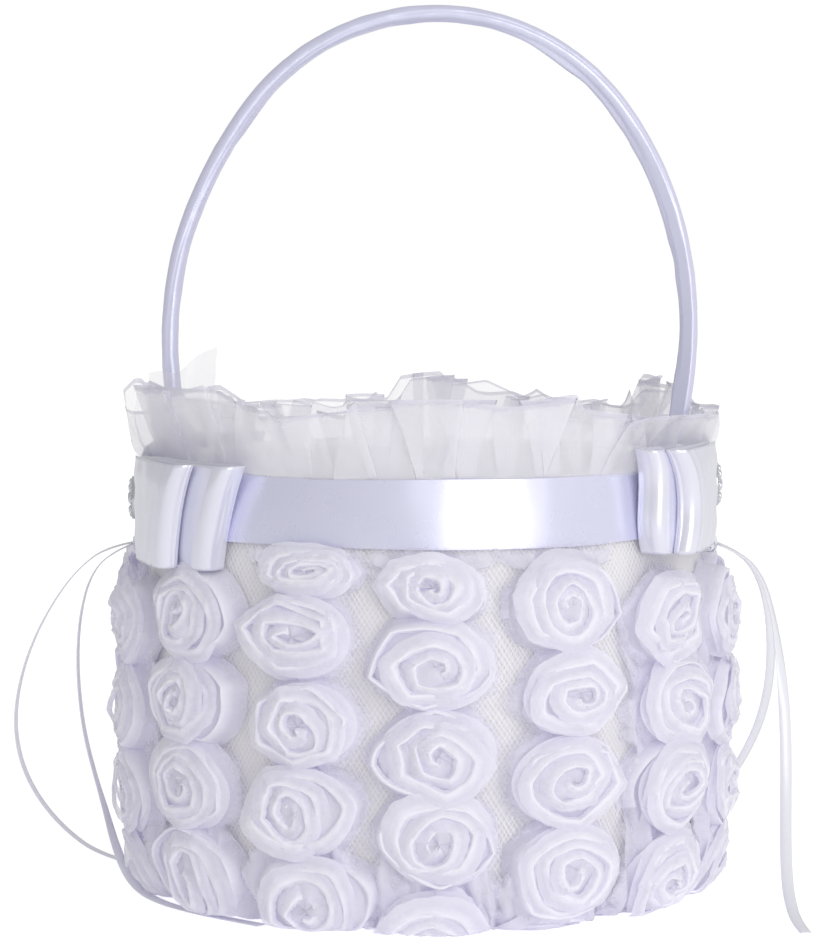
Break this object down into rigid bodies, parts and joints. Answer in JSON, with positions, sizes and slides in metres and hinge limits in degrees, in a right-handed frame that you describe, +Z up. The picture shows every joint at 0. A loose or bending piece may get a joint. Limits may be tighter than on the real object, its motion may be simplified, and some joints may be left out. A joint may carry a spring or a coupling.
{
  "type": "flower girl basket",
  "caption": "Round fabric covered basket with wound rosette columns, gathered sheer rim, satin band, hoop handle, side bows with rhinestones and trailing narrow ribbons.",
  "frame": {"origin": "centre of the underside of the base board, on the surface that the basket stands on", "axes": "+Z up along the bowl's axis, -Y the front, the handle spans along X with a bow at each of its feet"},
  "size_m": [0.2003, 0.1592, 0.2233],
  "materials": {
    "board": "moulded paper board, matt",
    "cover_satin": "white satin",
    "net": "fine diamond net",
    "chiffon": "soft wound chiffon",
    "lining_satin": "white satin",
    "padding": "satin over wadding",
    "organza": "sheer organza",
    "band_satin": "double face satin",
    "wire": "plain drawn wire",
    "sleeve_satin": "satin sleeve",
    "cap_plastic": "soft white plastic",
    "bow_satin": "double face satin",
    "setting": "plated cup",
    "stone": "cut glass with silvered back",
    "narrow_ribbon": "narrow double face satin"
  },
  "bodies": {
    "root": {"base_board": "board", "bow_left_knot": "bow_satin", "bow_left_long_loop_back": "bow_satin", "bow_left_long_loop_front": "bow_satin", "bow_left_short_loop_back": "bow_satin", "bow_left_short_loop_front": "bow_satin", "bow_right_knot": "bow_satin", "bow_right_long_loop_back": "bow_satin", "bow_right_long_loop_front": "bow_satin", "bow_right_short_loop_back": "bow_satin", "bow_right_short_loop_front": "bow_satin", "bowl_shell": "board", "floor_pad": "padding", "handle_end_cap_left": "cap_plastic", "handle_end_cap_right": "cap_plastic", "handle_sleeve": "sleeve_satin", "handle_wire": "wire", "inner_ruffle": "organza", "net_overlay": "net", "outer_ruffle": "organza", "rhinestone_setting_left": "setting", "rhinestone_setting_right": "setting", "rhinestones_left": "stone", "rhinestones_right": "stone", "rosette_column_01": "chiffon", "rosette_column_02": "chiffon", "rosette_column_03": "chiffon", "rosette_column_04": "chiffon", "rosette_column_05": "chiffon", "rosette_column_06": "chiffon", "rosette_column_07": "chiffon", "rosette_column_08": "chiffon", "rosette_column_09": "chiffon", "rosette_column_10": "chiffon", "rosette_column_11": "chiffon", "rosette_column_12": "chiffon", "rosette_column_13": "chiffon", "rosette_column_14": "chiffon", "satin_band": "band_satin", "satin_cover": "cover_satin", "satin_lining": "lining_satin", "tail_knot_left": "narrow_ribbon", "tail_knot_right": "narrow_ribbon", "tail_left_inner": "narrow_ribbon", "tail_left_outer": "narrow_ribbon", "tail_right_curl": "narrow_ribbon", "tail_right_long": "narrow_ribbon"}
  },
  "joints": []
}
